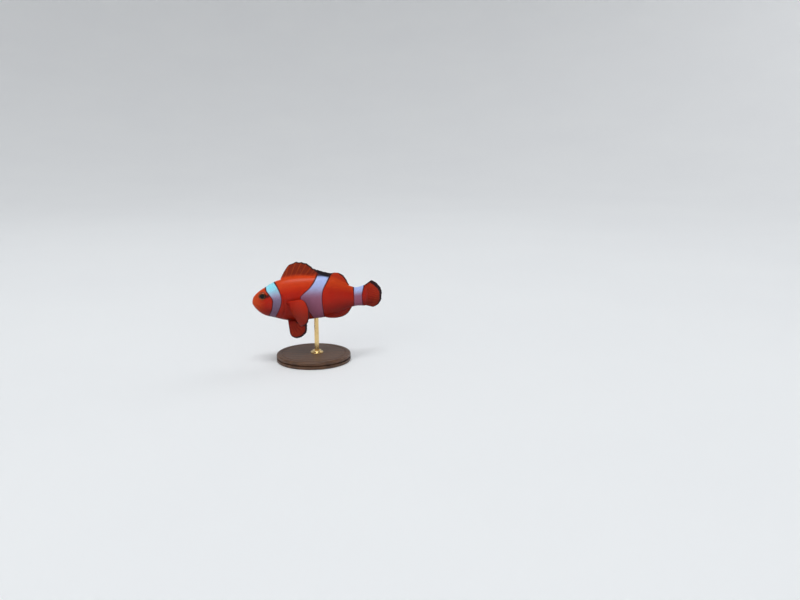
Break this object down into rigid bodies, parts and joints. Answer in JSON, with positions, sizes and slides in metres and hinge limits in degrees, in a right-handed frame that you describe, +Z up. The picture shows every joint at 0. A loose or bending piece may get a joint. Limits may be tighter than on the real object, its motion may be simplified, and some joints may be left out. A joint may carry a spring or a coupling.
{
  "type": "clownfish on a display stand",
  "caption": "Life-size still model of a false clownfish, orange with white bars edged in black, swimming with its tail swung aside, held by a rod on a round flat base.",
  "frame": {"origin": "centre of the underside of the stand's round base", "axes": "-X the way the fish faces, -Y towards its left flank, +Z up; the tail swings towards +Y"},
  "size_m": [0.0703, 0.04, 0.0541],
  "materials": {
    "skin": "smooth moist orange skin under small scales, with three white bars edged in black",
    "scales": "small glossy overlapping scales with the same markings as the skin",
    "eye": "glassy dark eye with an orange-brown iris",
    "wood": "dark oiled wood, satin",
    "brass": "brushed and lacquered"
  },
  "bodies": {
    "root": {"head": "skin", "lower_jaw": "skin", "gill_cover_left": "skin", "gill_cover_right": "skin", "trunk_front": "skin", "trunk_rear": "skin", "tail_stalk": "skin", "dorsal_fin_spiny": "skin", "dorsal_fin_soft": "skin", "anal_fin": "skin", "tail_fin": "skin", "pectoral_fin_left": "skin", "pectoral_fin_right": "skin", "pelvic_fin_left": "skin", "pelvic_fin_right": "skin", "eye_left": "eye", "eye_right": "eye", "stand_base": "wood", "stand_collar": "brass", "stand_rod": "brass"}
  },
  "joints": []
}
